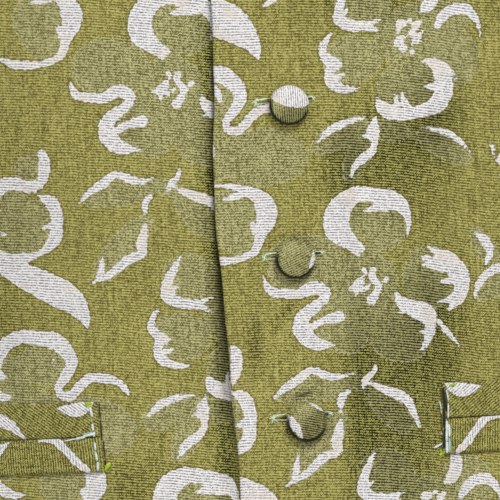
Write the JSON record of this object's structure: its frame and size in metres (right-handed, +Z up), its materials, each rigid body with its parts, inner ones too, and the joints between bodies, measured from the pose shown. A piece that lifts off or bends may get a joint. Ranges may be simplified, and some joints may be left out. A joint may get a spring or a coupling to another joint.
{
  "type": "brocade waistcoat",
  "caption": "Sleeveless V-neck waistcoat of flowered brocade, buttoned and filled out as if worn, with bound pockets and covered buttons.",
  "frame": {"origin": "where the shoulders hold it: on the centre plane, level with the neck ends of the shoulder seams", "axes": "+Z up, the front faces -Y, the wearer's left is +X"},
  "size_m": [0.3652, 0.2591, 0.6133],
  "materials": {
    "brocade": "olive-green ribbed silk brocade with woven sage and white flowers, soft sheen",
    "plain_cloth": "plain olive cloth, matt"
  },
  "bodies": {
    "root": {"front_left": "brocade", "front_right": "brocade", "back_left": "plain_cloth", "back_right": "plain_cloth", "pocket_left_lower_lip": "brocade", "pocket_left_upper_lip": "brocade", "pocket_right_lower_lip": "brocade", "pocket_right_upper_lip": "brocade", "button_1": "brocade", "button_2": "brocade", "button_3": "brocade", "button_4": "brocade", "button_5": "brocade", "button_6": "brocade"}
  },
  "joints": []
}
